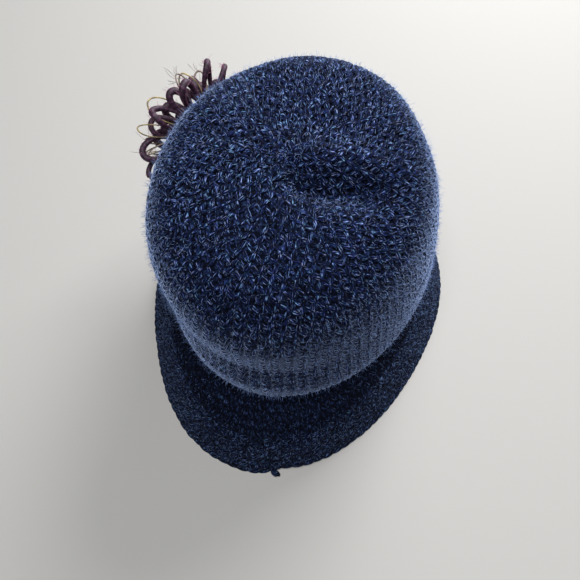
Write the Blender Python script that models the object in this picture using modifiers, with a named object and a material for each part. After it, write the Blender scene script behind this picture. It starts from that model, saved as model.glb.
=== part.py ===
"""Knit cloche hat: a puffed stockinette crown, a drawn-in band, a flared brim and a loop flower.

Units are metres, +Z is up. The hat stands on its brim at z = 0 with its front towards -Y and the
wearer's left towards +X. Angles round the hat run from +X through +Y, the back.
"""
import math

import bmesh
import bpy
from mathutils import Vector

# Wall and gaps
WALL = 0.0040             # thickness of the knitted fabric
PIECE_GAP = 0.0003        # clear gap between neighbouring pieces

# Heights above the surface that the brim rests on
POLE_HEIGHT = 0.1828      # top of the crown
PUFF_HEIGHT = 0.1180      # where the crown's puffed side is parted from its dome
NECK_HEIGHT = 0.0790      # where the crown's puff starts, at the top of the band
JOIN_HEIGHT = 0.0445      # where the band turns into the brim

# Half sizes of the oval sections: to the side, to the back and to the front
NECK_SIDE, NECK_BACK, NECK_FRONT = 0.0765, 0.0910, 0.0840
JOIN_SIDE, JOIN_BACK, JOIN_FRONT = 0.0890, 0.1295, 0.1000
BRIM_SIDE, BRIM_BACK, BRIM_FRONT = 0.1035, 0.1460, 0.1200
LIP_SIDE, LIP_BACK, LIP_FRONT = 0.0848, 0.1066, 0.0930
CROWN_SIDE, CROWN_BACK, CROWN_FRONT = 0.0874, 0.1010, 0.0976

# How far the join's back is drawn round to the wearer's right
JOIN_SHIFT = 0.0060

# The crown's puff, lean and pinched fold
DROOP = 0.0040            # how far the puff's lower edge hangs below the neck at the sides and front
BACK_DROOP = 0.0145       # the same at the back
LIP_SHIFT = 0.0022        # how far the puff's lower edge sits to the wearer's right
CREASE_ANGLE = math.radians(106)   # where the puff laps over itself at the back
CREASE_DROP = 0.0040      # how much lower the puff hangs on its left side than on its right
CREASE_REACH = 0.040      # how far round the puff that fades
CROWN_LEAN = 0.0062       # how far the pole leans to the wearer's left
POLE_BACK = 0.0043        # how far the pole lies behind the hat's middle
FOLD_HEADING = math.radians(197)   # the way the fold runs out from the pole
FOLD_LENGTH = 0.072       # how far it runs
FOLD_RIDGE = 0.0052       # height of its ridge
FOLD_GROOVE = 0.0082      # depth of the groove behind the ridge
FOLD_OFFSET = 0.0190      # distance from the ridge to the groove
DENT_DEPTH = 0.0030       # depth of the deepest soft dent in the crown's side

# Soft waves of the brim, deepest at its edge
BRIM_WAVE = 0.0125        # how far the widest one stands out

# The join in the brim
JOIN_ANGLE = math.radians(110)     # where the brim's two ends meet
JOIN_STEP = 0.0036        # how far one end stands outside the other at the edge
JOIN_REACH = 0.030        # how far round the brim that step fades

# The loop flower on the wearer's left
FLOWER_ANGLE = math.radians(-24)   # where it sits round the crown
FLOWER_HEIGHT = 0.1160    # height of its middle
BACKING_RADIUS = 0.0240
BACKING_THICKNESS = 0.0030
BACKING_SEAT = 0.0007     # clear gap under the backing, which bridges the crown's flat facets
HEAD_SEAT = 0.0009        # clear gap under the head, which bridges the backing's
HEAD_RADIUS = 0.0190      # the knot of cord that the loops come out of
HEAD_HEIGHT = 0.0090
CORD_RADIUS = 0.0023
LOOP_LENGTH = 0.0272      # how far an outer loop reaches out of the head
LOOP_WIDTH = 0.0200       # how wide it is
FRAME_STEP = 0.0040       # how far beside the flower's middle the crown's slope is taken

# Mesh density
AROUND = 52               # faces round each oval
ROWS_PER_SPAN = 2         # faces between two rows of a table
CORD_POINTS = 9           # points along one loop
PATCH_RINGS, PATCH_SIDES = 4, 20

# The band and the brim, top to bottom: how far the section has come from the upper named oval to
# the lower one (flare), at a share of the height between them (fall)
BAND_ROWS = (
    # fall, flare
    (0.00, 0.00),
    (0.28, 0.10),
    (0.62, 0.47),
)
BRIM_ROWS = (
    (0.00, 0.00),
    (0.50, 0.56),
    (1.00, 1.00),
)

# The tucked underside of the crown's puff, past the band's top: how far out from the neck to the
# lip (out), and how much of the droop it has (drop)
TUCK_ROWS = (
    # out, drop
    (0.00, 0.00),
    (0.25, 0.40),
    (0.52, 0.80),
    (0.78, 1.00),
    (0.95, 0.40),
    (1.00, -0.60),
)

# Waves in the brim: where round it, how wide in degrees, how far out as a share of the widest
BRIM_WAVES = (
    # angle in degrees, spread in degrees, reach
    (5, 25, 1.00),
    (118, 14, 0.12),
    (205, 24, 0.22),
)

# The crown above the puff: height as a share of neck to pole (rise), and half sizes as shares of
# the crown's named ones
DOME_ROWS = (
    # rise, side, back, front
    (0.300, 1.000, 0.990, 1.000),
    (0.551, 0.957, 1.000, 0.955),
    (0.760, 0.890, 0.925, 0.905),
    (0.900, 0.775, 0.775, 0.800),
    (0.952, 0.620, 0.610, 0.630),
    (0.981, 0.430, 0.420, 0.440),
    (0.995, 0.230, 0.220, 0.240),
    (1.000, 0.035, 0.035, 0.035),
)

# Soft dents in the crown: where round it, how high as a share of neck to pole, how wide as a share
# of the crown's half width, how deep as a share of the deepest
CROWN_DENTS = (
    # angle in degrees, rise, spread, depth
    (222, 0.62, 0.25, 1.00),
    (196, 0.30, 0.34, 0.73),
    (58, 0.42, 0.37, 0.80),
    (128, 0.55, 0.34, 0.60),
    (312, 0.70, 0.32, 0.73),
)

# Rings of loops: how many, where each leaves the head (foot, a share of its radius), its length
# and width as shares of an outer loop's, its lean away from straight out, the first one's turn
LOOP_RINGS = (
    # count, foot, length, width, lean in degrees, turn in degrees
    (8, 0.86, 1.00, 1.00, 74, 8),
    (7, 0.62, 0.94, 0.91, 45, 30),
    (3, 0.28, 0.75, 0.70, 16, 50),
)

COLOURS = {
    # name: red, green, blue (linear), roughness
    "navy_wool": (0.022, 0.040, 0.095, 0.90),
    "dark_navy_wool": (0.014, 0.026, 0.062, 0.92),
    "plum_cord": (0.045, 0.012, 0.040, 0.70),
    "plum_crochet": (0.030, 0.010, 0.028, 0.85),
}


def clear_scene():
    """Remove every object that the file starts with."""
    for obj in list(bpy.data.objects):
        bpy.data.objects.remove(obj, do_unlink=True)


def make_collection(name):
    collection = bpy.data.collections.new(name)
    bpy.context.scene.collection.children.link(collection)
    return collection


def make_material(name):
    red, green, blue, roughness = COLOURS[name]
    material = bpy.data.materials.new(name)
    material.use_nodes = True
    shader = material.node_tree.nodes["Principled BSDF"]
    shader.inputs["Base Color"].default_value = (red, green, blue, 1.0)
    shader.inputs["Roughness"].default_value = roughness
    shader.inputs["Metallic"].default_value = 0.0
    return material


def smooth_rows(rows, per_span):
    """Read a table of rows as one smooth curve, with per_span steps between two rows."""
    first = [2 * a - b for a, b in zip(rows[0], rows[1])]
    last = [2 * a - b for a, b in zip(rows[-1], rows[-2])]
    padded = [first, *rows, last]
    curve = []
    for before, start, end, after in zip(padded, padded[1:], padded[2:], padded[3:]):
        for step in range(per_span):
            t = step / per_span
            curve.append(tuple(
                0.5 * (2 * b + (c - a) * t + (2 * a - 5 * b + 4 * c - d) * t ** 2
                       + (3 * b - a - 3 * c + d) * t ** 3)
                for a, b, c, d in zip(before, start, end, after)))
    curve.append(tuple(rows[-1]))
    return curve


def oval(angle, side, back, front):
    """A point on an oval whose back and front halves have their own depth."""
    depth = back if math.sin(angle) > 0 else front
    return Vector((side * math.cos(angle), depth * math.sin(angle), 0.0))


def mix(start, end, share):
    return start + (end - start) * share


def turn_between(angle, centre):
    """Signed difference of two angles, within half a turn."""
    return (angle - centre + math.pi) % (2 * math.pi) - math.pi


def lower_wall_sections():
    """Height and half sizes of the band and brim, from below the floor cut up to the neck."""
    neck = (NECK_HEIGHT, NECK_SIDE, NECK_BACK, NECK_FRONT)
    join = (JOIN_HEIGHT, JOIN_SIDE, JOIN_BACK, JOIN_FRONT)
    edge = (0.0, BRIM_SIDE, BRIM_BACK, BRIM_FRONT)
    rows = []
    for upper, lower, table in ((neck, join, BAND_ROWS), (join, edge, BRIM_ROWS)):
        for fall, flare in table:
            height = mix(upper[0], lower[0], fall)
            rows.append((height, *(mix(a, b, flare) for a, b in zip(upper[1:], lower[1:]))))
    above = (NECK_HEIGHT + WALL, *neck[1:])
    below = tuple(2 * a - b for a, b in zip(rows[-1], rows[-2]))
    curve = smooth_rows([above, *rows, below], ROWS_PER_SPAN)
    return curve[::-1]


def step_beside(angle, centre, radius, reach):
    """1 just before an angle and -1 just past it, fading to nothing at a distance of reach."""
    distance = turn_between(angle, centre) * radius
    return -math.tanh(distance / WALL) * math.exp(-(distance / reach) ** 2)


def brim_lowness(height):
    """0 from the join up, 1 at the brim's edge."""
    return min(max(1 - height / JOIN_HEIGHT, 0.0), 1.0)


def join_offset(angle):
    """How far the brim's edge stands in or out beside its join."""
    return 0.5 * JOIN_STEP * step_beside(angle, JOIN_ANGLE, BRIM_BACK, JOIN_REACH)


def wave_offset(angle):
    """How far the brim's edge waves outwards."""
    offset = 0.0
    for degrees, spread, reach in BRIM_WAVES:
        distance = math.degrees(turn_between(angle, math.radians(degrees)))
        offset += reach * BRIM_WAVE * math.exp(-(distance / spread) ** 2)
    return offset


def join_nearness(height):
    """1 at the join's height, falling to 0 at the neck and at the brim's edge."""
    far = NECK_HEIGHT - JOIN_HEIGHT if height > JOIN_HEIGHT else JOIN_HEIGHT
    share = min(abs(height - JOIN_HEIGHT) / far, 1.0)
    return 0.5 + 0.5 * math.cos(math.pi * share)


def lower_wall_rings():
    rings = []
    for height, side, back, front in lower_wall_sections():
        ring = []
        for step in range(AROUND):
            angle = 2 * math.pi * step / AROUND
            point = oval(angle, side, back, front)
            stray = brim_lowness(height) * (join_offset(angle) + wave_offset(angle))
            point += point.normalized() * stray
            point.x -= JOIN_SHIFT * backness(angle) * join_nearness(height)
            point.z = height
            ring.append(point)
        rings.append(ring)
    return rings


def fold_offset(point):
    """Height of the pinched fold on the crown's top: a ridge with a groove behind it."""
    pole = Vector((CROWN_LEAN, POLE_BACK))
    flat = Vector((point.x, point.y)) - pole
    along_way = Vector((math.cos(FOLD_HEADING), math.sin(FOLD_HEADING)))
    back_way = Vector((along_way.y, -along_way.x))
    along = flat.dot(along_way) / FOLD_LENGTH
    back = flat.dot(back_way)
    if not 0.0 < along < 1.0:
        return 0.0
    swell = math.sin(math.pi * along ** 0.7)
    ridge = FOLD_RIDGE * math.exp(-(back / (0.50 * FOLD_OFFSET)) ** 2)
    groove = FOLD_GROOVE * math.exp(-((back - FOLD_OFFSET) / (0.42 * FOLD_OFFSET)) ** 2)
    return (ridge - groove) * swell


def dent_depth(angle, rise):
    """How far the crown's side is pressed in at an angle and a rise."""
    depth = 0.0
    for degrees, middle, spread, deepest in CROWN_DENTS:
        across = turn_between(angle, math.radians(degrees)) * CROWN_SIDE
        upwards = (rise - middle) * (POLE_HEIGHT - NECK_HEIGHT)
        width = spread * CROWN_SIDE
        depth += deepest * DENT_DEPTH * math.exp(-(across ** 2 + upwards ** 2) / width ** 2)
    return depth


def backness(angle):
    """1 at the centre back, 0 from the sides round the front."""
    return max(math.sin(angle), 0.0) ** 2


def puff_droop(angle):
    """How far the puff's lower edge hangs below the neck."""
    lap = 0.5 * CREASE_DROP * step_beside(angle, CREASE_ANGLE, LIP_BACK, CREASE_REACH)
    return mix(DROOP, BACK_DROOP, backness(angle)) + lap


def tuck_points(angle):
    """The underside of the puff at one angle, from the neck's inner side out to the lip."""
    neck = oval(angle, NECK_SIDE, NECK_BACK, NECK_FRONT)
    lip = oval(angle, LIP_SIDE, LIP_BACK, LIP_FRONT)
    lip.x -= LIP_SHIFT
    points = [neck - neck.normalized() * WALL]
    points += [neck.lerp(lip, out) for out, drop in TUCK_ROWS]
    drops = [0.0, *(drop for out, drop in TUCK_ROWS)]
    for point, drop in zip(points, drops):
        point.z = NECK_HEIGHT + PIECE_GAP - puff_droop(angle) * drop
    return points


def dome_points(angle, per_span):
    """The crown's outer face at one angle, from the lip up to the pole."""
    rows = [tuple(point) for point in tuck_points(angle)[-2:]]
    for rise, side, back, front in DOME_ROWS:
        flat = oval(angle, side * CROWN_SIDE, back * CROWN_BACK, front * CROWN_FRONT)
        flat -= flat.normalized() * dent_depth(angle, rise)
        lean = rise ** 1.2
        rows.append((flat.x + CROWN_LEAN * lean, flat.y + POLE_BACK * lean,
                     mix(NECK_HEIGHT, POLE_HEIGHT, rise)))
    points = [Vector(row) for row in smooth_rows(rows, per_span)[per_span:]]
    for point in points:
        point.z += fold_offset(point)
    return points


def crown_rings():
    columns = []
    for step in range(AROUND):
        angle = 2 * math.pi * step / AROUND
        columns.append(tuck_points(angle)[:-1] + dome_points(angle, ROWS_PER_SPAN))
    return [list(ring) for ring in zip(*columns)]


def loft(name, rings, material, collection, close_top=False):
    """Skin a stack of rings, bottom to top, into one open surface facing outwards."""
    mesh_builder = bmesh.new()
    grid = [[mesh_builder.verts.new(point) for point in ring] for ring in rings]
    for lower, upper in zip(grid, grid[1:]):
        for near, far in zip(range(len(lower)), [*range(1, len(lower)), 0]):
            mesh_builder.faces.new((lower[near], lower[far], upper[far], upper[near]))
    if close_top:
        middle = sum(rings[-1], Vector()) / len(rings[-1])
        pole = mesh_builder.verts.new(middle)
        for near, far in zip(grid[-1], [*grid[-1][1:], grid[-1][0]]):
            mesh_builder.faces.new((near, far, pole))
    return finish_mesh(name, mesh_builder, material, collection)


def finish_mesh(name, mesh_builder, material, collection):
    mesh = bpy.data.meshes.new(name)
    mesh_builder.to_mesh(mesh)
    mesh_builder.free()
    mesh.shade_smooth()
    obj = bpy.data.objects.new(name, mesh)
    collection.objects.link(obj)
    if material:
        obj.data.materials.append(material)
    return obj


def thicken(obj, thickness, offset):
    solidify = obj.modifiers.new("fabric", "SOLIDIFY")
    solidify.thickness = thickness
    solidify.offset = offset


def slab_cutter(name, low, high, collection):
    """A block that spans the whole hat between two heights."""
    reach = 2.6 * BRIM_BACK
    mesh_builder = bmesh.new()
    bmesh.ops.create_cube(mesh_builder, size=1.0)
    bmesh.ops.scale(mesh_builder, vec=(reach, reach, high - low), verts=mesh_builder.verts)
    bmesh.ops.translate(mesh_builder, vec=(0, 0, (low + high) / 2), verts=mesh_builder.verts)
    cutter = finish_mesh(name, mesh_builder, None, collection)
    cutter.hide_render = True
    cutter.display_type = "WIRE"
    return cutter


def keep_inside(obj, cutter):
    boolean = obj.modifiers.new("trim", "BOOLEAN")
    boolean.operation = "INTERSECT"
    boolean.solver = "EXACT"
    boolean.object = cutter


def add_crown(parts, cutters):
    """The crown is one cap, parted between its dome and its puffed side."""
    half_gap = PIECE_GAP / 2
    levels = (
        ("crown", PUFF_HEIGHT + half_gap, POLE_HEIGHT + 2 * FOLD_RIDGE),
        ("crown_puff", NECK_HEIGHT - 2 * (BACK_DROOP + CREASE_DROP), PUFF_HEIGHT - half_gap),
    )
    for name, low, high in levels:
        cap = loft(name, crown_rings(), make_material("navy_wool"), parts, close_top=True)
        thicken(cap, WALL, -1.0)
        keep_inside(cap, slab_cutter(name + "_trim", low, high, cutters))


def add_lower_wall(parts, cutters):
    """The band and the brim are one flared wall, parted where the stitch changes."""
    half_gap = PIECE_GAP / 2
    levels = (
        ("band", JOIN_HEIGHT + half_gap, NECK_HEIGHT, "dark_navy_wool"),
        ("brim", 0.0, JOIN_HEIGHT - half_gap, "navy_wool"),
    )
    for name, low, high, colour in levels:
        wall = loft(name, lower_wall_rings(), make_material(colour), parts)
        thicken(wall, WALL, -1.0)
        keep_inside(wall, slab_cutter(name + "_trim", low, high, cutters))


def crown_point(angle, height):
    """The point on the crown's outer face at an angle and a height."""
    column = dome_points(angle, ROWS_PER_SPAN)
    for low, high in zip(column, column[1:]):
        if low.z <= height <= high.z:
            return low.lerp(high, (height - low.z) / (high.z - low.z))
    return column[0] if height < column[0].z else column[-1]


def flower_frame():
    """Middle of the flower on the crown, with its outward, upward and sideways directions."""
    middle = crown_point(FLOWER_ANGLE, FLOWER_HEIGHT)
    above = crown_point(FLOWER_ANGLE, FLOWER_HEIGHT + FRAME_STEP)
    beside = crown_point(FLOWER_ANGLE + FRAME_STEP / CROWN_SIDE, FLOWER_HEIGHT)
    up = (above - middle).normalized()
    out = (beside - middle).cross(up).normalized()
    sideways = up.cross(out)
    return middle, out, up, sideways


def add_backing(parts):
    """A round pad that follows the crown's side."""
    middle, out, up, sideways = flower_frame()
    mesh_builder = bmesh.new()
    around = crown_point(FLOWER_ANGLE, FLOWER_HEIGHT).xy.length

    def seat(radius, turn):
        angle = FLOWER_ANGLE + radius * math.cos(turn) / around
        point = crown_point(angle, FLOWER_HEIGHT + radius * math.sin(turn) * up.z)
        return point + out * BACKING_SEAT

    centre = mesh_builder.verts.new(seat(0.0, 0.0))
    rings = []
    for ring in range(1, PATCH_RINGS + 1):
        radius = BACKING_RADIUS * ring / PATCH_RINGS
        rings.append([mesh_builder.verts.new(seat(radius, 2 * math.pi * side / PATCH_SIDES))
                      for side in range(PATCH_SIDES)])
    sides = list(zip(range(PATCH_SIDES), [*range(1, PATCH_SIDES), 0]))
    for near, far in sides:
        mesh_builder.faces.new((centre, rings[0][near], rings[0][far]))
        for inner, outer in zip(rings, rings[1:]):
            mesh_builder.faces.new((inner[near], outer[near], outer[far], inner[far]))
    backing = finish_mesh("flower_backing", mesh_builder, make_material("plum_crochet"), parts)
    thicken(backing, BACKING_THICKNESS, 1.0)


def loop_path(frame, foot, length, width, lean, turn):
    """Points along one loop: out of the head, round a drop-shaped arch and back."""
    middle, out, up, sideways = frame
    away = sideways * math.cos(turn) + up * math.sin(turn)
    across = out.cross(away)
    way = out * math.cos(lean) + away * math.sin(lean)
    root = middle + out * (BACKING_THICKNESS + 0.5 * HEAD_HEIGHT) + away * foot * HEAD_RADIUS
    points = []
    for step in range(CORD_POINTS):
        share = step / (CORD_POINTS - 1)
        rise = math.sin(math.pi * share)
        spread = -math.cos(math.pi * share) * mix(0.30, 1.0, rise)
        points.append(root + way * length * rise ** 0.85 + across * width / 2 * spread)
    return points


def cord_mesh(name, points, radius):
    """A tube along the points, as a closed mesh."""
    curve = bpy.data.curves.new(name, "CURVE")
    curve.dimensions = "3D"
    curve.bevel_depth = radius
    curve.bevel_resolution = 2
    curve.use_fill_caps = True
    spline = curve.splines.new("POLY")
    spline.points.add(len(points) - 1)
    for target, point in zip(spline.points, points):
        target.co = (*point, 1.0)
    tube = bpy.data.objects.new(name, curve)
    bpy.context.scene.collection.objects.link(tube)
    evaluated = tube.evaluated_get(bpy.context.evaluated_depsgraph_get())
    mesh = bpy.data.meshes.new_from_object(evaluated)
    bpy.data.objects.remove(tube, do_unlink=True)
    welder = bmesh.new()
    welder.from_mesh(mesh)
    bmesh.ops.remove_doubles(welder, verts=welder.verts, dist=0.00001)
    bmesh.ops.recalc_face_normals(welder, faces=welder.faces)
    welder.to_mesh(mesh)
    welder.free()
    return mesh


def add_loops(parts, cutters):
    """The flower's head with every loop of cord joined to it in one body."""
    frame = flower_frame()
    middle, out, up, sideways = frame
    mesh_builder = bmesh.new()
    bmesh.ops.create_uvsphere(mesh_builder, u_segments=20, v_segments=10, radius=1.0)
    for vertex in mesh_builder.verts:
        flat = vertex.co.xy * HEAD_RADIUS
        height = BACKING_THICKNESS + HEAD_SEAT + max(vertex.co.z, 0.0) * HEAD_HEIGHT
        vertex.co = middle + sideways * flat.x + up * flat.y + out * height
    head = finish_mesh("flower_loops", mesh_builder, make_material("plum_cord"), parts)
    for ring, (count, foot, length, width, lean, first) in enumerate(LOOP_RINGS):
        for number in range(count):
            turn = math.radians(first) + 2 * math.pi * number / count
            points = loop_path(frame, foot, length * LOOP_LENGTH, width * LOOP_WIDTH,
                               math.radians(lean), turn)
            name = f"loop_{ring}_{number}"
            tube = bpy.data.objects.new(name, cord_mesh(name, points, CORD_RADIUS))
            cutters.objects.link(tube)
            tube.hide_render = True
            tube.display_type = "WIRE"
            union = head.modifiers.new(name, "BOOLEAN")
            union.operation = "UNION"
            union.solver = "EXACT"
            union.object = tube


def centre_over_base(parts, cutters):
    """Move everything sideways, so that the origin lies under the middle of the hat's box."""
    graph = bpy.context.evaluated_depsgraph_get()
    points = []
    for obj in parts.objects:
        evaluated = obj.evaluated_get(graph)
        points += [evaluated.matrix_world @ vertex.co for vertex in evaluated.data.vertices]
    shift = Vector([-(min(axis) + max(axis)) / 2 for axis in zip(*(point.xy for point in points))])
    for obj in (*parts.objects, *cutters.objects):
        obj.location.xy = shift


def build():
    clear_scene()
    parts = make_collection("knit_cloche_hat")
    cutters = make_collection("cutters")
    add_crown(parts, cutters)
    add_lower_wall(parts, cutters)
    add_backing(parts)
    add_loops(parts, cutters)
    centre_over_base(parts, cutters)


build()
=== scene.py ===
"""Knit cloche hat: every stitch of marled wool, the loop flower, the wool's fuzz, camera and light.

The hat stands on its brim at z = 0 with its front towards -Y and the wearer's left towards +X.
"""
import math

import bmesh
import bpy
import numpy as np
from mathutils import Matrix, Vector
from mathutils.bvhtree import BVHTree


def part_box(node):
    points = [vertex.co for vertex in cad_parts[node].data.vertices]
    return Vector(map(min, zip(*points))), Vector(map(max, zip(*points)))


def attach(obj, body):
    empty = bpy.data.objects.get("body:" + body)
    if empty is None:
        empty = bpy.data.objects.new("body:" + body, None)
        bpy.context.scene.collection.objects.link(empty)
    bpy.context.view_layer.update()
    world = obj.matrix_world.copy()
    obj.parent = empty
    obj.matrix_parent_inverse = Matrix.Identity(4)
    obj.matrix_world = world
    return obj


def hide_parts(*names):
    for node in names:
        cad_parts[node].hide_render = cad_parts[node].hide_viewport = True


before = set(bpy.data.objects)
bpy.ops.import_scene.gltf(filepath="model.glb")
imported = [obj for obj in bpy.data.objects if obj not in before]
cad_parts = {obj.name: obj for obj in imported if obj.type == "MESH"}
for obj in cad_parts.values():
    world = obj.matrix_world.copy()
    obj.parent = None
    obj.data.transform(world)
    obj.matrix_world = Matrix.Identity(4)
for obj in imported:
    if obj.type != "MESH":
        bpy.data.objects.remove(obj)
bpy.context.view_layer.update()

RANDOM = np.random.default_rng(1927)

# The knitting, in metres and counts
WALL = 0.0040               # thickness of the knitted fabric
BACK_DEPTH = 0.0019         # how far the wall behind the stitches lies under the hat's face
YARN_RADIUS = 0.00136       # the heavy worsted yarn, plumped up by its fuzz
STITCH_WIDTH = 0.0066       # one column of stockinette
PLY_LENGTH = 14             # millimetres of yarn along which a ply winds once round it
CROWN_ROWS = 40
CROWN_SECTORS = 8           # the crown's decreases run in eight spiral lines
SECTOR_STITCHES = 11
SWIRL, SWIRL_ROWS = 0.10, 3.0   # how far round the pole those lines start, and how soon it fades
BAND_ROWS, BAND_STITCHES = 8, 100
BRIM_ROWS, BRIM_STITCHES = 10, 116
CHAIN_TOP = 0.93            # the chain along the brim's edge starts this far down the brim
CROWN_RAISED, PLAIN_RAISED, CHAIN_RAISED = 0.0006, -0.0005, 0.0003   # out from the fabric

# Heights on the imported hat
CROWN_MIDDLE = 0.110        # the crown's surface is read from a point at this height
NECK_HEIGHT = 0.0790
JOIN_HEIGHT = 0.0445
GAP = 0.0003                # the solids are read this far from the heights where they meet
EDGE_HEIGHT = 0.0004        # and the brim's edge this far over the floor
SEAM_TURN = 104 / 360       # the brim's join, as a share of a turn from +X through +Y
SEAM_DEPTH, SEAM_SPREAD = 0.0030, 0.0065   # the drawn-in line there
STEP_RISE, STEP_SPREAD = 0.0045, 0.045     # the edge is drawn up past the join, then comes down
BRIM_LONGER = 0.0261        # how much further the brim's back reaches than its front
POLE_LEAN = (0.0062, 0.0043, CROWN_MIDDLE)  # the pole leans to the wearer's left and back

# The crease under the pinched fold, from the pole to the wearer's right: places from the hat's axis
CREASE = ((0.0030, 0.0060), (-0.0012, 0.0190), (-0.0240, 0.0147), (-0.0435, 0.0047))
CREASE_DEPTH, CREASE_SPREAD = 0.0040, 0.0037
CREASE_LOWEST = 0.14        # it draws in only what is above this height

# Where the crown's shoulder is a little fuller than the solid, in front on the wearer's right
SWELL = 0.0020
SWELL_HEADING, SWELL_SLOPE, SWELL_SPREAD = math.radians(224), math.radians(26), math.radians(24)

# The camera, fitted to the photograph, from the hat's upright axis
CAMERA_PLACE = Vector((-0.07810, 0.17979, 0.45506))
CAMERA_TURN = (23.270, 1.856, -157.698)
CAMERA_LENS, SENSOR = 38.5, 36.0


# Materials

def linear(code):
    """A colour written as sRGB hex, as linear red, green, blue and alpha."""
    shares = [int(code[i:i + 2], 16) / 255 for i in (1, 3, 5)]
    return (*(s / 12.92 if s <= 0.04045 else ((s + 0.055) / 1.055) ** 2.4 for s in shares), 1.0)


def add_node(material, kind, sockets=None, **settings):
    """A node with its settings, and each named socket set or linked."""
    node = material.node_tree.nodes.new("ShaderNode" + kind)
    for name, value in settings.items():
        setattr(node, name, value)
    for socket, value in (sockets or {}).items():
        if isinstance(value, bpy.types.NodeSocket):
            material.node_tree.links.new(value, node.inputs[socket])
        else:
            node.inputs[socket].default_value = value
    return node


def new_material(name, **sockets):
    """A material and its shader, with numbers and colours set on the shader's sockets."""
    material = bpy.data.materials.new(name)
    material.use_nodes = True
    shader = material.node_tree.nodes["Principled BSDF"]
    for socket, value in sockets.items():
        shader.inputs[socket.replace("_", " ")].default_value = value
    return material, shader


def ramp(material, factor, stops):
    """A colour ramp through stops of place and sRGB hex colour."""
    node = add_node(material, "ValToRGB", {"Fac": factor})
    elements = node.color_ramp.elements
    while len(elements) < len(stops):
        elements.new(1.0)
    for element, (place, code) in zip(elements, stops):
        element.position = place
        element.color = linear(code)
    return node.outputs["Color"]


def darken(material, share, colour, shade):
    """A colour multiplied by a shade, which counts for a share."""
    node = add_node(material, "Mix", {0: share, 6: colour, 7: shade}, data_type="RGBA",
                    blend_type="MULTIPLY")
    return node.outputs[2]


def sums(material, kind, first, second=0.0, third=0.0):
    """One step of arithmetic."""
    node = add_node(material, "Math", {0: first, 1: second, 2: third}, operation=kind)
    return node.outputs[0]


def wave(material, value, count):
    """A sine with count waves to each unit of a value."""
    return sums(material, "SINE", sums(material, "MULTIPLY", value, 2 * math.pi * count))


def noise(material, scale, detail=2.0):
    """Noise that stays with the object, with scale patches to a metre."""
    place = add_node(material, "TexCoord").outputs["Object"]
    sockets = {"Vector": place, "Scale": scale, "Detail": detail}
    return add_node(material, "TexNoise", sockets).outputs["Fac"]


def yarn_places(material, ply_length):
    """Millimetres along the yarn, and the turn round it counted from a ply that winds about it."""
    yarn = add_node(material, "UVMap", uv_map="yarn").outputs["UV"]
    split = add_node(material, "SeparateXYZ", {"Vector": yarn})
    along = split.outputs["Y"]
    return along, sums(material, "MULTIPLY_ADD", along, 1 / ply_length, split.outputs["X"])


def finish_material(material, shader, colour, height=None, strength=0.0, distance=0.0,
                    invert=False):
    """Give the shader its colour, and a height as its bump."""
    links = material.node_tree.links
    links.new(colour, shader.inputs["Base Color"])
    if height is not None:
        bump = add_node(material, "Bump", {"Height": height, "Strength": strength,
                                           "Distance": distance}, invert=invert)
        links.new(bump.outputs["Normal"], shader.inputs["Normal"])
    return material


def marled_wool(name, nap, dark, middle, light, fleck):
    """Heavy worsted wool, several dyed plies twisted together and brushed by wear.

    The UV map yarn runs once round the yarn in X and along it in millimetres in Y. The plies wind
    round the yarn, so their flecks are slanted dashes a little under 1 mm wide and 3 mm long. Wool
    is matt with a soft nap of fibre ends, which is the sheen. The attribute along runs from 0 to 1
    along each yarn of a stitch, whose colour is darkened towards its ends as painted shade for the
    dark between the columns.
    """
    material, shader = new_material(
        name, Roughness=0.90, Specular_IOR_Level=0.06, Sheen_Weight=nap, Sheen_Roughness=0.27,
        Sheen_Tint=linear("#95a9d2"))
    length, wound = yarn_places(material, PLY_LENGTH)
    dashes = add_node(material, "CombineXYZ", {
        "X": sums(material, "MULTIPLY", wound, 10.0),
        "Y": sums(material, "MULTIPLY", length, 0.30)})
    streaks = add_node(material, "TexNoise", {
        "Vector": dashes.outputs["Vector"], "Scale": 1.0, "Detail": 3.0, "Roughness": 0.55})
    blue = ramp(material, streaks.outputs["Fac"],
                ((0.40, dark), (0.50, middle), (0.59, light), (0.69, fleck)))
    tint = ramp(material, noise(material, 330.0, 0.0),
                ((0.36, "#8fb8b4"), (0.44, "#ced5cf"), (0.52, "#c8cde0"), (0.60, "#b3a6c4"),
                 (0.68, "#b8a698")))
    tinted = darken(material, 0.80, blue, tint)
    shade = ramp(material, noise(material, 210.0, 1.0), ((0.30, "#9a9a9a"), (0.62, "#ffffff")))
    # Painted shade: each yarn is darkened towards its ends, most at its outer top end, between
    # columns
    along = add_node(material, "Attribute", attribute_name="along").outputs["Fac"]
    painted_end_shade = ramp(material, along, ((0.0, "#8a8a8a"), (0.22, "#ffffff"), (0.72, "#ffffff"),
                                  (0.98, "#2a2a2a")))
    colour = darken(material, 0.85, darken(material, 0.75, tinted, shade), painted_end_shade)
    four_plies = wave(material, wound, 4)
    height = sums(material, "MULTIPLY_ADD", four_plies, 0.35, noise(material, 2200.0))
    return finish_material(material, shader, colour, height, 0.55, 0.0004)


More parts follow.
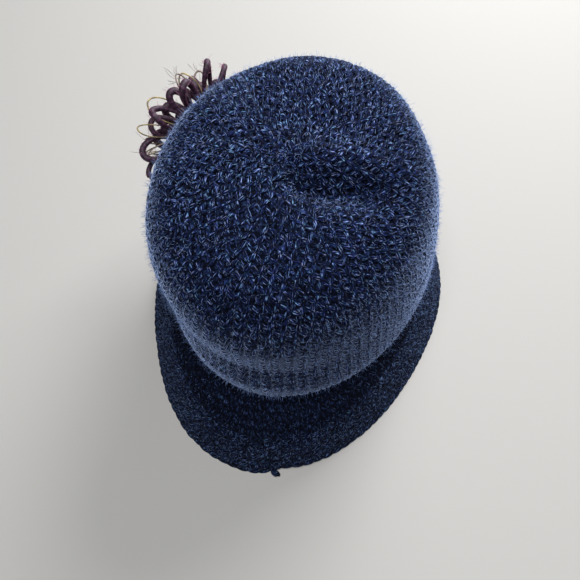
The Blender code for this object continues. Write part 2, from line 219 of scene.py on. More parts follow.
def fabric_back(name, columns, rows):
    """The same wool seen from its purl side and through the gaps between the stitches.

    The UV map fabric has one unit for the whole way round and one for the whole height. There is
    one arched purl bump to a stitch. Its colour is darker than the stitches' wool, painted shade
    for the gaps between them, and lighter on the bumps' arches than between them, painted shade
    in the hollows.
    """
    material, shader = new_material(
        name, Roughness=0.95, Specular_IOR_Level=0.05, Sheen_Weight=0.04, Sheen_Roughness=0.5,
        Sheen_Tint=linear("#7f93b8"))
    fabric = add_node(material, "UVMap", uv_map="fabric").outputs["UV"]
    split = add_node(material, "SeparateXYZ", {"Vector": fabric})
    across = wave(material, split.outputs["X"], columns)
    arched = sums(material, "MULTIPLY_ADD", across, 0.18,
                  sums(material, "MULTIPLY", split.outputs["Y"], rows))
    lit = sums(material, "MULTIPLY_ADD", wave(material, arched, 1), 0.10,
               noise(material, 700.0, 3.0))
    # Painted shade: dark overall for the gaps between stitches, darkest where the purl relief is
    # low
    colour = ramp(material, lit, ((0.38, "#02040c"), (0.52, "#070c1e"), (0.66, "#182440")))
    return finish_material(material, shader, colour, lit, 0.8, 0.0012)


def wool_fibre(name, colour):
    """Single fibres that stand off the yarn. They are painted paler, painted light for the light
    that shines through real ones.
    """
    material, shader = new_material(name, Roughness=0.85, Specular_IOR_Level=0.05,
                                    Sheen_Weight=0.05)
    shade = ramp(material, noise(material, 300.0), ((0.3, colour), (0.7, "#6478a0")))
    return finish_material(material, shader, shade)


def chenille_cord(name):
    """Chenille cord: a dense short pile of rayon, dark face on and paler at its edges."""
    material, shader = new_material(
        name, Roughness=0.62, Specular_IOR_Level=0.35, Sheen_Weight=0.25, Sheen_Roughness=0.35,
        Sheen_Tint=linear("#ab5f86"))
    rib = wave(material, yarn_places(material, 3.2)[1], 1)
    height = sums(material, "MULTIPLY_ADD", rib, 0.16, noise(material, 900.0))
    # Painted shade: the colour follows the bump's height, darker in its dips, over a random mottle
    colour = ramp(material, height, ((0.30, "#160814"), (0.55, "#260f25"), (0.80, "#40203a")))
    return finish_material(material, shader, colour, height, 0.5, 0.0004)


def crocheted_pad(name, middle):
    """Plum yarn crocheted round and round: a ridge to each 3.4 mm round, bumps 3 mm apart."""
    material, shader = new_material(
        name, Roughness=0.85, Specular_IOR_Level=0.2, Sheen_Weight=0.4, Sheen_Roughness=0.5,
        Sheen_Tint=linear("#a27c98"))
    place = add_node(material, "TexCoord").outputs["Object"]
    centred = add_node(material, "Mapping", {"Vector": place, "Location": tuple(-middle)})
    far = add_node(material, "VectorMath", {0: centred.outputs["Vector"]}, operation="LENGTH")
    rounds = wave(material, far.outputs["Value"], 1 / 0.0034)
    bumps = add_node(material, "TexVoronoi", {"Vector": place, "Scale": 330.0})
    height = sums(material, "MULTIPLY_ADD", rounds, 0.3, bumps.outputs["Distance"])
    # Painted shade: the colour follows the height, darkest in the hollows between rounds and bumps
    colour = ramp(material, height, ((0.05, "#4a2747"), (0.5, "#30162f"), (0.9, "#160a17")))
    return finish_material(material, shader, colour, height, 0.7, 0.0008, invert=True)


def novelty_thread(name, dark, light):
    """Thin viscose thread with a slight shine, its colour changing every few millimetres."""
    material, shader = new_material(name, Roughness=0.45, Specular_IOR_Level=0.45,
                                    Sheen_Weight=0.2)
    colour = ramp(material, noise(material, 240.0), ((0.35, dark), (0.65, light)))
    return finish_material(material, shader, colour)


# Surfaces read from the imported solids

def hat_axis():
    """The foot of the hat's upright axis: midway across the band, and midway along the brim but
    for what its back is longer.
    """
    band_low, band_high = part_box("band")
    low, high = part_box("brim")
    return Vector(((band_low.x + band_high.x) / 2, (low.y + high.y - BRIM_LONGER) / 2, 0))


AXIS = hat_axis()
POLE = AXIS + Vector(POLE_LEAN)


def solids_tree(*names):
    """A search tree over the faces of some CAD nodes."""
    points, faces = [], []
    for name in names:
        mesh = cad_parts[name].data
        start = len(points)
        points += [vertex.co.copy() for vertex in mesh.vertices]
        faces += [[start + corner for corner in face.vertices] for face in mesh.polygons]
    return BVHTree.FromPolygons(points, faces)


def heading(turn, slope=0.0):
    """The way out from the axis at a turn round it and a slope up, both in radians."""
    return Vector((math.cos(turn) * math.cos(slope), math.sin(turn) * math.cos(slope),
                   math.sin(slope)))


def soften(grid, times, wrap):
    """Average a grid with its neighbours, round it (wrap) or down it."""
    for _ in range(times):
        if wrap:
            grid = 0.5 * grid + 0.25 * (np.roll(grid, 1, axis=1) + np.roll(grid, -1, axis=1))
        else:
            inner = 0.5 * grid[1:-1] + 0.25 * (grid[:-2] + grid[2:])
            grid = np.concatenate([grid[:1], inner, grid[-1:]])
    return grid


class Cloth:
    """Fabric that goes all round the hat: turn runs round it from 0 to 1, share down it."""
    LEVELS = 160

    def __init__(self, columns):
        """columns[angle] is a list of points from the top edge to the bottom one."""
        grid = np.empty((self.LEVELS + 1, len(columns), 3))
        wanted = np.linspace(0, 1, self.LEVELS + 1)
        for angle, column in enumerate(columns):
            column = np.array(column)
            lengths = np.linalg.norm(np.diff(column, axis=0), axis=1)
            along = np.concatenate([[0], np.cumsum(lengths)])
            for axis in range(3):
                grid[:, angle, axis] = np.interp(wanted, along / along[-1], column[:, axis])
        grid = soften(soften(grid, 5, True), 4, False)
        self.points = grid
        down = np.gradient(grid, axis=0)
        around = np.roll(grid, -1, axis=1) - np.roll(grid, 1, axis=1)
        normals = np.cross(down, around)
        sizes = np.linalg.norm(normals, axis=2, keepdims=True)
        self.normals = normals / np.maximum(sizes, 1e-12)
        self.normals[sizes[..., 0] < 1e-12] = (0, 0, 1)

    def read(self, table, turn, share):
        """Values between those of a table of levels by angles."""
        rows, angles = table.shape[:2]
        x = (np.asarray(turn) % 1.0) * angles
        y = np.clip(np.asarray(share), 0, 1) * (rows - 1)
        left, top = np.floor(x).astype(int), np.minimum(np.floor(y).astype(int), rows - 2)
        fx, fy = (x - left)[..., None], (y - top)[..., None]
        left, right = left % angles, (left + 1) % angles
        upper = table[top, left] * (1 - fx) + table[top, right] * fx
        lower = table[top + 1, left] * (1 - fx) + table[top + 1, right] * fx
        return upper * (1 - fy) + lower * fy

    def at(self, turn, share, out=0.0):
        """Points that stand out from the fabric by out metres, and the directions there."""
        normal = self.read(self.normals, turn, share)
        normal /= np.linalg.norm(normal, axis=-1, keepdims=True)
        return self.read(self.points, turn, share) + normal * np.asarray(out)[..., None], normal

    def girth(self, share):
        """The length once round the fabric."""
        ring = self.at(np.linspace(0, 1, 181), np.full(181, share))[0]
        return np.linalg.norm(np.diff(ring, axis=0), axis=1).sum()


ANGLES = 240
RAY_START = 0.4             # rays are cast inwards from this far out
LIP_JUMP = 0.008            # a reading that differs by this from the last is past the puff's lip


def crease_depth(point):
    """How far the crease draws the crown in at a point."""
    place = (point - AXIS).to_2d()
    nearest = 1.0
    for start, end in zip(CREASE, CREASE[1:]):
        start, end = Vector(start), Vector(end)
        share = (place - start).dot(end - start) / (end - start).length_squared
        nearest = min(nearest, (place - start.lerp(end, min(max(share, 0), 1))).length)
    if point.z < CREASE_LOWEST:
        return 0.0
    return CREASE_DEPTH * math.exp(-(nearest / CREASE_SPREAD) ** 2)


def shoulder_swell(turn, slope):
    """How much fuller the crown's shoulder is at a heading and a slope up from its middle."""
    return (SWELL * max(0.0, math.cos(turn - SWELL_HEADING)) ** 2
            * math.exp(-((slope - SWELL_SLOPE) / SWELL_SPREAD) ** 2))


def crown_cloth():
    """The crown's outer face from the pole, over the lip of its puff and a little way under it."""
    tree = solids_tree("crown", "crown_puff")
    slopes = np.radians(np.linspace(89.9, -34, 150))
    reach = np.empty((len(slopes), ANGLES))
    for angle in range(ANGLES):
        for level, slope in enumerate(slopes):
            way = heading(2 * math.pi * angle / ANGLES, slope)
            reach[level, angle] = RAY_START - tree.ray_cast(POLE + way * RAY_START, -way)[3]
    # A ray that slips through the gap between the two solids reads short
    usual = np.median([reach, np.roll(reach, 2, axis=0), np.roll(reach, -2, axis=0)], axis=0)
    reach = np.where(reach < usual - 0.002, usual, reach)
    columns = []
    for angle in range(ANGLES):
        turn = 2 * math.pi * angle / ANGLES
        steps = np.abs(np.diff(reach[:, angle])) > LIP_JUMP
        last = int(np.argmax(steps)) if steps.any() else len(slopes) - 1
        column = []
        for slope, far in zip(slopes[:last + 1], reach[:, angle]):
            way = heading(turn, slope)
            column.append(POLE + way * (far + shoulder_swell(turn, slope)
                                        - crease_depth(POLE + way * far)))
        lowest = min(range(len(column)), key=lambda level: column[level].z)
        column = column[:lowest + 1]
        # The underside of the lip, read from below
        inward = (AXIS - column[-1]).to_2d().normalized().to_3d()
        for inset in (0.002, 0.004, 0.006, 0.008):
            start = column[lowest] + inward * inset - Vector((0, 0, 0.03))
            hit = tree.ray_cast(start, Vector((0, 0, 1)))
            if hit[0] is not None and hit[3] < 0.045:
                column.append(hit[0])
        columns.append([tuple(point) for point in column])
    return Cloth(columns)


def wall_cloth(name, high, low):
    """The outer face of the band or brim between two heights."""
    tree = solids_tree(name)
    columns = []
    for angle in range(ANGLES):
        way = heading(2 * math.pi * angle / ANGLES)
        past_seam = (angle / ANGLES - SEAM_TURN) / STEP_SPREAD
        lift = STEP_RISE * math.exp(-past_seam ** 2) if high < JOIN_HEIGHT and past_seam > 0 else 0
        column = []
        for height in np.linspace(high, low + lift, 30):
            start = AXIS + way * RAY_START + Vector((0, 0, height))
            far = RAY_START - tree.ray_cast(start, -way)[3]
            if height < JOIN_HEIGHT:
                far -= SEAM_DEPTH * math.exp(-((angle / ANGLES - SEAM_TURN) / SEAM_SPREAD) ** 2)
            column.append(tuple(AXIS + way * far + Vector((0, 0, height))))
        columns.append(column)
    return Cloth(columns)


# Yarn

def yarn_template(around, along):
    """A closed spindle: share along it, angle round it and fullness of each vertex, and faces."""
    builder = bmesh.new()
    bmesh.ops.create_uvsphere(builder, u_segments=around, v_segments=along, radius=1.0)
    bmesh.ops.triangulate(builder, faces=builder.faces)
    builder.verts.ensure_lookup_table()
    points = np.array([vertex.co[:] for vertex in builder.verts])
    faces = np.array([[vertex.index for vertex in face.verts] for face in builder.faces])
    builder.free()
    share = 1 - np.arccos(np.clip(points[:, 2], -1, 1)) / math.pi
    angle = np.arctan2(points[:, 1], points[:, 0]) % (2 * math.pi)
    fullness = np.sqrt(np.clip(1 - points[:, 2] ** 2, 0, 1)) ** 0.5
    level = np.rint(share * along).astype(int)
    corner_turn = (angle / (2 * math.pi))[faces]
    wide = (corner_turn.max(1) - corner_turn.min(1)) > 0.5
    corner_turn[wide] = np.where(corner_turn[wide] < 0.5, corner_turn[wide] + 1, corner_turn[wide])
    tips = fullness[faces] < 1e-3
    others = np.where(tips, 0, corner_turn).sum(1) / 2
    corner_turn = np.where(tips, others[:, None], corner_turn)
    return {"level": level, "levels": along + 1, "angle": angle, "fullness": fullness,
            "faces": faces, "turn": corner_turn}


def lay_yarns(name, template, centres, outward, radius, material, bloom=0.0, facing=None):
    """Join many yarns in one mesh. centres and outward are yarns x levels x 3.

    The nap of fibres rounds off how a yarn takes the light: bloom is the share of its shading
    direction that comes from the fabric it is part of, facing, rather than from its own skin.
    """
    count = len(centres)
    along = np.gradient(centres, axis=1)
    along /= np.maximum(np.linalg.norm(along, axis=2, keepdims=True), 1e-12)
    inner = -(outward - along * (outward * along).sum(2, keepdims=True))
    inner /= np.maximum(np.linalg.norm(inner, axis=2, keepdims=True), 1e-12)
    beside = np.cross(along, inner)
    level, angle, full = template["level"], template["angle"], template["fullness"]
    thick = np.broadcast_to(radius, centres.shape[:2])[:, level][..., None]
    ring = (inner[:, level] * np.cos(angle)[None, :, None]
            + beside[:, level] * np.sin(angle)[None, :, None])
    points = centres[:, level] + ring * full[None, :, None] * thick
    points[..., 2] = np.maximum(points[..., 2], 0.0)
    faces = template["faces"]
    corners = (faces[None] + np.arange(count)[:, None, None] * points.shape[1]).ravel()
    steps = np.linalg.norm(np.diff(centres, axis=1), axis=2)
    length = np.concatenate([np.zeros((count, 1)), np.cumsum(steps, axis=1)], axis=1) * 1000
    length += RANDOM.random((count, 1)) * 900
    uv = np.stack([np.broadcast_to(template["turn"], (count, *faces.shape)),
                   length[:, level[faces]]], axis=-1)
    mesh = bpy.data.meshes.new(name)
    mesh.vertices.add(points.shape[0] * points.shape[1])
    mesh.vertices.foreach_set("co", points.astype(np.float32).ravel())
    mesh.loops.add(len(corners))
    mesh.loops.foreach_set("vertex_index", corners.astype(np.int32))
    mesh.polygons.add(len(corners) // 3)
    mesh.polygons.foreach_set("loop_start", np.arange(0, len(corners), 3, dtype=np.int32))
    mesh.uv_layers.new(name="yarn").data.foreach_set("uv", uv.astype(np.float32).ravel())
    mesh.update(calc_edges=True)
    mesh.attributes.new("along", "FLOAT", "POINT").data.foreach_set(
        "value", np.tile(level / level.max(), count).astype(np.float32))
    mesh.shade_smooth()
    if bloom:
        facing = outward if facing is None else facing
        blended = ring * (1 - bloom) + facing[:, level] * bloom
        blended /= np.maximum(np.linalg.norm(blended, axis=2, keepdims=True), 1e-9)
        mesh.normals_split_custom_set_from_vertices(blended.reshape(-1, 3).astype(np.float32))
    return add_piece(name, mesh, material)


def built_mesh(name, builder):
    """A mesh with what a builder holds."""
    mesh = bpy.data.meshes.new(name)
    builder.to_mesh(mesh)
    builder.free()
    return mesh


def add_piece(name, mesh, material):
    """A visible piece of the hat, with its material and the slot that it can be swapped by."""
    piece = bpy.data.objects.new(name, mesh)
    bpy.context.scene.collection.objects.link(piece)
    mesh.materials.append(material)
    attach(piece, "root")
    return piece


LEG = yarn_template(6, 6)

# Three control points of each yarn in a stitch: across it from its middle (1 is its width), up it
# (1 is its height) and out from the fabric in yarn radii
RIGHT_LEG = ((0.01, -0.12, -0.95), (0.22, 0.30, 0.45), (0.49, 1.02, -1.25))
LEFT_LEG = tuple((-across, up, out) for across, up, out in RIGHT_LEG)
PURL_BUMP = ((-0.62, 0.28, -1.3), (0.0, 0.80, 1.15), (0.62, 0.28, -1.3))
CHAIN_LINK = ((-0.80, 0.14, -0.3), (0.0, 0.22, 0.5), (0.80, 0.44, -0.2))
UNEVENNESS = (0.014, 0.026, 0.09)


def stitch_yarns(cloth, cells, kind, raise_by):
    """Centre lines and outward directions of one kind of yarn in each cell.

    A cell is left and right turn, then upper and lower share. No two stitches are quite alike, so
    each control point is shaken by UNEVENNESS.
    """
    cells = np.asarray(cells)
    count = len(cells)
    control = np.array(kind)[None] + np.zeros((count, 1, 1))
    control += RANDOM.normal(size=(count, 3, 3)) * np.array(UNEVENNESS)
    steps = np.linspace(0, 1, LEG["levels"])[None, :, None]
    path = ((1 - steps) ** 2 * control[:, :1] + 2 * steps * (1 - steps) * control[:, 1:2]
            + steps ** 2 * control[:, 2:])
    middle = (cells[:, 0] + cells[:, 1])[:, None] / 2
    turn = middle + path[..., 0] * (cells[:, 1] - cells[:, 0])[:, None]
    share = cells[:, 3][:, None] - path[..., 1] * (cells[:, 3] - cells[:, 2])[:, None]
    out = path[..., 2] * YARN_RADIUS - 0.25 * YARN_RADIUS + raise_by
    return cloth.at(turn, share, out)


def crown_cells():
    """The crown's stitches row by row, with whole columns dropped at the end of each sector."""
    cells = []
    for row in range(CROWN_ROWS):
        upper, lower = row / CROWN_ROWS, (row + 1) / CROWN_ROWS
        wide = CROWN.girth((row + 0.5) / CROWN_ROWS) / (CROWN_SECTORS * STITCH_WIDTH)
        wide = min(max(wide, 1.0), SECTOR_STITCHES)
        edges = [float(edge) for edge in range(int(wide) + 1)]
        if wide - edges[-1] > 0.5:
            edges.append(wide)
        else:
            edges[-1] = wide
        swirl = SWIRL * math.exp(-row / SWIRL_ROWS)
        for sector in range(CROWN_SECTORS):
            for left, right in zip(edges, edges[1:]):
                cells.append(((sector + left / wide) / CROWN_SECTORS + swirl,
                              (sector + right / wide) / CROWN_SECTORS + swirl, upper, lower))
    return cells


def wall_cells(rows, stitches, chosen=lambda row, stitch: True):
    """The stitches of the band or brim, or only some of them."""
    return [(stitch / stitches, (stitch + 1) / stitches, row / rows, (row + 1) / rows)
            for row in range(rows) for stitch in range(stitches) if chosen(row, stitch)]


def legs(cells, raise_by=0.0):
    """The groups that make plain stitches in some cells, a V of two legs each."""
    return (cells, LEFT_LEG, raise_by), (cells, RIGHT_LEG, raise_by)


def knit(name, cloth, groups, material):
    """One mesh of stitches out of groups of cells and the kind of yarn in them."""
    parts = [stitch_yarns(cloth, cells, kind, raise_by) for cells, kind, raise_by in groups]
    centres = np.concatenate([part[0] for part in parts])
    outward = np.concatenate([part[1] for part in parts])
    radius = YARN_RADIUS * (1 + 0.07 * RANDOM.normal(size=(len(centres), 1)))
    lay_yarns(name, LEG, centres, outward, radius, material, bloom=0.70)


TINY = 1e-4                 # a vertex this near the edge of its grid is on it


def fabric(name, cloth, columns, rows, replaced):
    """The wall behind the stitches, which is the hat's purl side within.

    It has an outer and an inner skin, joined along their rims and each closed at the crown's pole.
    """
    builder = bmesh.new()
    builder.loops.layers.uv.new("fabric")
    rims = []
    for depth in (BACK_DEPTH, WALL):
        made = bmesh.ops.create_grid(builder, x_segments=120, y_segments=40, size=0.5,
                                     calc_uvs=True)["verts"]
        turn = np.array([vertex.co.x + 0.5 for vertex in made])
        share = np.array([0.5 - vertex.co.y for vertex in made])
        tops = [vertex for vertex, down in zip(made, share) if down < TINY]
        ends = [vertex for vertex, down in zip(made, share) if down > 1 - TINY]
        seam = [vertex for vertex, part in zip(made, turn) if min(part, 1 - part) < TINY]
        points, _ = cloth.at(np.where(turn > 1 - TINY, 0.0, turn), share,
                             np.full(len(turn), -depth))
        points[:, 2] = np.maximum(points[:, 2], 0.0002)   # over the floor
        for vertex, point in zip(made, points):
            vertex.co = point
        faces = {face for vertex in made for face in vertex.link_faces}
        if depth == WALL:
            bmesh.ops.reverse_faces(builder, faces=list(faces))
        bmesh.ops.remove_doubles(builder, verts=seam, dist=0.00002)
        tops = [vertex for vertex in tops if vertex.is_valid]
        if name == "crown_fabric":
            bmesh.ops.pointmerge(builder, verts=tops, merge_co=tops[0].co)
            tops = []
        rims.append((tops, [vertex for vertex in ends if vertex.is_valid]))
    for outer, inner in zip(*rims):
        ring = set(outer + inner)
        edges = [edge for edge in builder.edges if edge.is_boundary and set(edge.verts) <= ring]
        if edges:
            bmesh.ops.bridge_loops(builder, edges=edges)
    bmesh.ops.recalc_face_normals(builder, faces=builder.faces)
    mesh = built_mesh(name, builder)
    mesh.shade_smooth()
    piece = add_piece(name, mesh, fabric_back(name + "_purl_side_wool_and_painted_shade", columns, rows))
    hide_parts(*replaced)


CROWN = crown_cloth()
BAND = wall_cloth("band", NECK_HEIGHT - GAP, JOIN_HEIGHT + GAP)
BRIM = wall_cloth("brim", JOIN_HEIGHT - GAP, EDGE_HEIGHT)

# One wool in three copies: the band's and brim's are darker, with less sheen, as painted shade
crown_wool = marled_wool("marled_worsted_wool_crown", 0.86,
                         "#01020c", "#07102c", "#203264", "#9cb3dc")
# The band's copy is the darkest: painted shade for the puff's shadow over the band
band_wool_painted_shade = marled_wool("marled_worsted_wool_band_painted_shade", 0.03,
                        "#01020b", "#03081a", "#101a35", "#4c5d82")
brim_wool_painted_shade = marled_wool("marled_worsted_wool_brim_painted_shade", 0.06,
                        "#01020c", "#070f28", "#23345b", "#748bb2")

fabric("crown_fabric", CROWN, CROWN_SECTORS * SECTOR_STITCHES, CROWN_ROWS, ("crown", "crown_puff"))
fabric("band_fabric", BAND, BAND_STITCHES, BAND_ROWS, ("band",))
fabric("brim_fabric", BRIM, BRIM_STITCHES, BRIM_ROWS, ("brim",))

# The crown's stitches are two meshes, so that each stays under 200,000 triangles
stitches = crown_cells()
half = math.ceil(len(stitches) / 2)
for number, chosen in enumerate((stitches[:half], stitches[half:]), 1):
    knit(f"crown_stitches_{number}", CROWN, legs(chosen, CROWN_RAISED), crown_wool)

knit("band_stitches", BAND, legs(wall_cells(BAND_ROWS, BAND_STITCHES)), band_wool_painted_shade)

bumps = wall_cells(BRIM_ROWS, BRIM_STITCHES, lambda row, stitch: (row + stitch) % 2 == 0)
plain = wall_cells(BRIM_ROWS, BRIM_STITCHES, lambda row, stitch: (row + stitch) % 2 == 1)
edge = [(stitch / BRIM_STITCHES, (stitch + 1) / BRIM_STITCHES, CHAIN_TOP, 1.0)
        for stitch in range(BRIM_STITCHES)]
knit("brim_stitches", BRIM,
     ((bumps, PURL_BUMP, 0.0), *legs(plain, PLAIN_RAISED), (edge, CHAIN_LINK, CHAIN_RAISED)),
     brim_wool_painted_shade)


TAIL_LENGTH, TAIL_WAVE, TAIL_RADIUS = 0.0058, 0.0018, YARN_RADIUS * 1.7


def yarn_tail():
    """The yarn's tail where the brim's round was joined, loose on the floor."""
    steps = np.linspace(0, 1, 27)
    foot, out = BRIM.at(np.array([SEAM_TURN]), np.array([0.96]), np.array([0.0006]))
    along = np.cross(out[0], (0, 0, 1))
    centres = (foot + steps[:, None] * TAIL_LENGTH * (out[0] * (1, 1, 0) + along * 0.2)
               + along * TAIL_WAVE * np.sin(steps * 5.0)[:, None])
    centres[:, 2] = foot[0, 2] * (1 - steps) ** 2 + 0.0018
    outward = np.broadcast_to(np.array([0, 0, 1.0]), centres.shape)
    lay_yarns("yarn_tail", yarn_template(8, 26), centres[None], outward[None], TAIL_RADIUS,
              brim_wool_painted_shade, bloom=0.4)


yarn_tail()


# The wool's fuzz

FIBRE = yarn_template(3, 3)
FIBRE_RADIUS = 0.00008


def fuzz(name, cloth, count, reach, material):
    """Single fibres rooted on the yarn at random, each bent over by a random amount."""
    turn = RANDOM.random(count)
    spans = np.linspace(0, 1, 25)
    area = np.cumsum([cloth.girth(span) for span in spans])
    share = np.interp(RANDOM.random(count), area / area[-1], spans)
    root, normal = cloth.at(turn, share, RANDOM.random(count) * 0.0008)
    length = reach * (0.4 + RANDOM.random((count, 1)))
    lean = RANDOM.normal(size=(count, 3))
    lean -= normal * (lean * normal).sum(1, keepdims=True)
    lean /= np.linalg.norm(lean, axis=1, keepdims=True)
    bend = RANDOM.normal(size=(count, 3)) * 0.28
    steps = np.linspace(0, 1, FIBRE["levels"])[None, :, None]
    rise = normal * (0.75 + 0.35 * RANDOM.random((count, 1)))
    centres = root[:, None] + length[:, None] * (
        steps * (rise + lean * 0.22)[:, None] + steps ** 2 * bend[:, None] * 0.6)
    centres[..., 2] = np.maximum(centres[..., 2], 0.0005)
    outward = np.broadcast_to(np.cross(normal, lean)[:, None], centres.shape)
    facing = np.broadcast_to((normal * 0.5 + np.array([0, 0, 0.7]))[:, None], centres.shape)
    lay_yarns(name, FIBRE, centres, outward, FIBRE_RADIUS, material, bloom=0.85,
              facing=facing)


fibre = wool_fibre("wool_fibre_ends", "#3b4a6c")
for name, cloth, count, reach in (
        ("crown_fuzz_1", CROWN, 6000, 0.0016), ("crown_fuzz_2", CROWN, 7000, 0.0030),
        ("band_fuzz", BAND, 1200, 0.0018), ("brim_fuzz", BRIM, 2500, 0.0018)):
    fuzz(name, cloth, count, reach, fibre)


# The flower, with random draws of its own: a change to the knitting leaves its loops as they are

RANDOM = np.random.default_rng(11)


def flower_frame():
    """Middle of the pad on the crown, with its outward, upward and sideways directions."""
    low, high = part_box("flower_backing")
    middle = (low + high) / 2
    turn = math.atan2(middle.y - POLE.y, middle.x - POLE.x) / (2 * math.pi)
    shares = np.linspace(0, 1, 400)
    heights = CROWN.at(np.full(len(shares), turn), shares)[0][:, 2]
    share = shares[np.argmin(np.abs(heights - middle.z))]
    point, out = CROWN.at(np.array([turn]), np.array([share]))
    out = Vector(out[0])
    sideways = Vector((0, 0, 1)).cross(out).normalized()
    return Vector(point[0]), out, out.cross(sideways), sideways


PAD, OUT, UP, SIDEWAYS = flower_frame()
HEAD_RADIUS, HEAD_RISE = 0.019, 0.0045
HEAD_START, LOOP_START = 0.0042, 0.003   # how far over the crown the head and the loops begin
CORD_RADIUS, THREAD_RADIUS = 0.0023, 0.00058
LOOP, THREAD, HAIR = yarn_template(10, 26), yarn_template(5, 26), yarn_template(3, 5)

# Rings of loops: how many, foot as a share of the head's radius, length, width, lean from straight
# out in degrees, turn of the first one
LOOP_RINGS = (
    (10, 0.86, 0.0270, 0.0190, 76, 8),
    (2, 0.95, 0.0295, 0.0185, 84, 352),
    (9, 0.66, 0.0245, 0.0185, 52, 30),
    (7, 0.42, 0.0205, 0.0175, 28, 50),
    (3, 0.15, 0.0180, 0.0140, 8, 10),
)


def loop_points(foot, length, width, lean, turn, twist, curl):
    """One loop out of the head: a drop-shaped arch, turned about its own way and curled over."""
    away = SIDEWAYS * math.cos(turn) + UP * math.sin(turn)
    across = OUT.cross(away)
    way = OUT * math.cos(lean) + away * math.sin(lean)
    over = way.cross(across)
    root = PAD + OUT * (LOOP_START + HEAD_RISE) + away * foot * HEAD_RADIUS
    points = []
    for step in range(LOOP["levels"]):
        share = step / (LOOP["levels"] - 1)
        rise = math.sin(math.pi * share)
        spread = -math.cos(math.pi * share) * (0.30 + 0.70 * rise)
        turned = twist * rise
        side = across * math.cos(turned) + over * math.sin(turned)
        points.append(root + way * length * rise ** 0.85 + side * width / 2 * spread
                      + over * curl * rise ** 2)
    return points


def lay_loops(name, template, chosen, radius, material):
    """Lay cord or thread along each loop of points."""
    centres = np.array([[tuple(point) for point in points] for points in chosen])
    first, top, last = centres[:, 0], centres[:, LOOP["levels"] // 2], centres[:, -1]
    flat = np.cross(top - first, last - first)
    flat /= np.linalg.norm(flat, axis=1, keepdims=True)
    outward = np.broadcast_to(flat[:, None], centres.shape)
    thick = radius * (1 + 0.13 * RANDOM.normal(size=(len(centres), 1)))
    return lay_yarns(name, template, centres, outward, thick, material), centres


def cord_loops():
    """The cord's loops ring by ring, none like the next. Those at the sides are turned the most."""
    chosen = []
    for count, foot, length, width, lean, first in LOOP_RINGS:
        for number in range(count):
            wobble = RANDOM.normal(size=6)
            turn = math.radians(first + 360 * number / count + 5 * wobble[0])
            chosen.append(loop_points(
                foot, length * (1 + 0.08 * wobble[1]), width * (1 + 0.14 * wobble[2]),
                math.radians(lean + 6 * wobble[3]), turn,
                1.45 * abs(math.cos(turn)) + 0.35 * wobble[4], 0.0030 * wobble[5]))
    return chosen


def thread_loops(count, first):
    """Long thin loops that stand out past the cord ones."""
    chosen = []
    for number in range(count):
        wobble = RANDOM.normal(size=5)
        turn = math.radians(first + 360 * number / count + 12 * wobble[0])
        chosen.append(loop_points(
            0.40 + 0.50 * RANDOM.random(), 0.0288 + 0.0026 * wobble[1],
            0.0150 + 0.0040 * wobble[2], math.radians(20 + 62 * RANDOM.random()), turn,
            1.1 * wobble[3], 0.0050 * wobble[4]))
    return chosen


def loose_ends(name, roots, count, short, long, radius, material):
    """Fibres and thread ends that stick out of the cords in every direction."""
    root = roots.reshape(-1, 3)[RANDOM.integers(0, roots.size // 3, count)]
    way = RANDOM.normal(size=(count, 3)) * 0.75 + np.array(OUT)
    way /= np.linalg.norm(way, axis=1, keepdims=True)
    bend = RANDOM.normal(size=(count, 3)) * 0.35
    length = short + (long - short) * RANDOM.random((count, 1, 1)) ** 1.5
    steps = np.linspace(0, 1, HAIR["levels"])[None, :, None]
    centres = root[:, None] + length * (steps * way[:, None] + steps ** 2 * bend[:, None])
    outward = np.broadcast_to(np.cross(way, bend)[:, None], centres.shape)
    lay_yarns(name, HAIR, centres, outward, radius, material)


def flower_head():
    """The knot of cord in the middle that the loops come out of, a low dome."""
    builder = bmesh.new()
    bmesh.ops.create_uvsphere(builder, u_segments=40, v_segments=20, radius=1.0)
    builder.loops.layers.uv.new("yarn")
    for vertex in builder.verts:
        flat = vertex.co.xy * HEAD_RADIUS
        height = HEAD_START + max(vertex.co.z, 0.0) * 2 * HEAD_RISE
        vertex.co = PAD + SIDEWAYS * flat.x + UP * flat.y + OUT * height
    mesh = built_mesh("flower_head", builder)
    mesh.shade_smooth()
    add_piece("flower_head", mesh, cord)


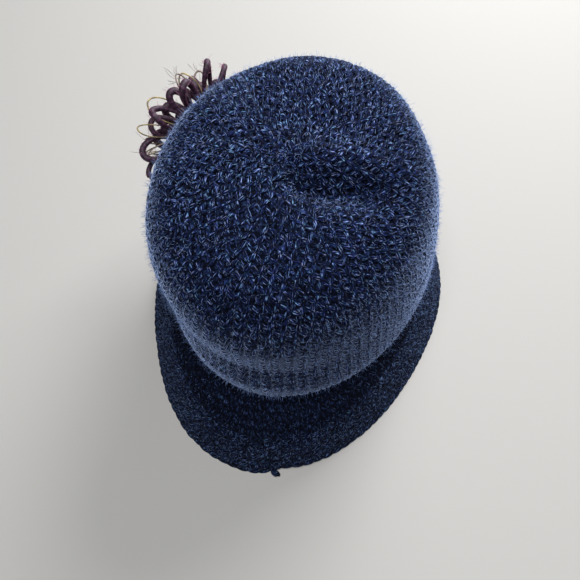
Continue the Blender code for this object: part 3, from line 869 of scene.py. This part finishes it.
cord = chenille_cord("plum_chenille_cord")
gold = novelty_thread("gold_viscose_thread", "#4f4228", "#8d7c50")
taupe = novelty_thread("taupe_viscose_thread", "#3d322c", "#7d6c62")
pink = novelty_thread("pink_eyelash_pile", "#5a2443", "#a5607f")
loops, strands = lay_loops("flower_cord_loops", LOOP, cord_loops(), CORD_RADIUS, cord)
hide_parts("flower_loops")
lay_loops("flower_gold_threads", THREAD, thread_loops(9, 15), THREAD_RADIUS, gold)
_, thin = lay_loops("flower_taupe_threads", THREAD, thread_loops(9, 40), THREAD_RADIUS, taupe)
loose_ends("flower_pink_pile", strands[:, 6:-6], 900, 0.0025, 0.0065, 0.00011, pink)
loose_ends("flower_thread_ends", thin[:, 8:-8], 34, 0.0050, 0.0130, 0.00018, taupe)
flower_head()

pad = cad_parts["flower_backing"]
pad.data.materials.clear()
pad.data.materials.append(crocheted_pad("crocheted_plum_yarn", PAD))


# The stage, the light and the camera

def add_floor():
    builder = bmesh.new()
    bmesh.ops.create_grid(builder, x_segments=1, y_segments=1, size=3.0)
    mesh = built_mesh("floor", builder)
    floor = bpy.data.objects.new("floor", mesh)
    bpy.context.scene.collection.objects.link(floor)
    board, _ = new_material("pale_painted_board", Roughness=0.75, Base_Color=linear("#908f8d"))
    mesh.materials.append(board)


def add_light(name, place, target, size, power):
    """A round lamp of a width in metres and a power in watts, aimed at a target."""
    light = bpy.data.lights.new(name, "AREA")
    light.shape = "DISK"
    light.size = size
    light.energy = power
    lamp = bpy.data.objects.new(name, light)
    lamp.location = place
    lamp.rotation_euler = (Vector(target) - Vector(place)).to_track_quat("-Z", "Y").to_euler()
    bpy.context.scene.collection.objects.link(lamp)


def add_world():
    world = bpy.data.worlds.new("soft_room")
    world.use_nodes = True
    background = world.node_tree.nodes["Background"]
    background.inputs["Color"].default_value = linear("#e9ecef")
    background.inputs["Strength"].default_value = 0.11
    bpy.context.scene.world = world


def add_camera():
    camera = bpy.data.objects.new("camera", bpy.data.cameras.new("camera"))
    camera.data.lens = CAMERA_LENS
    camera.data.sensor_width = SENSOR
    camera.location = AXIS + CAMERA_PLACE
    camera.rotation_euler = [math.radians(angle) for angle in CAMERA_TURN]
    bpy.context.scene.collection.objects.link(camera)
    bpy.context.scene.camera = camera


add_floor()
add_world()
add_light("window", (-0.20, -1.00, 0.95), (0, 0, 0.1), 0.7, 26)
add_light("ceiling", (-0.08, 0.28, 1.55), (0, 0, 0.1), 0.7, 30)
add_light("low_window", (0.10, -1.15, 0.42), (0, -0.05, 0.12), 0.6, 10)
add_camera()
view = bpy.context.scene.view_settings
view.view_transform = "Standard"
view.look = "None"
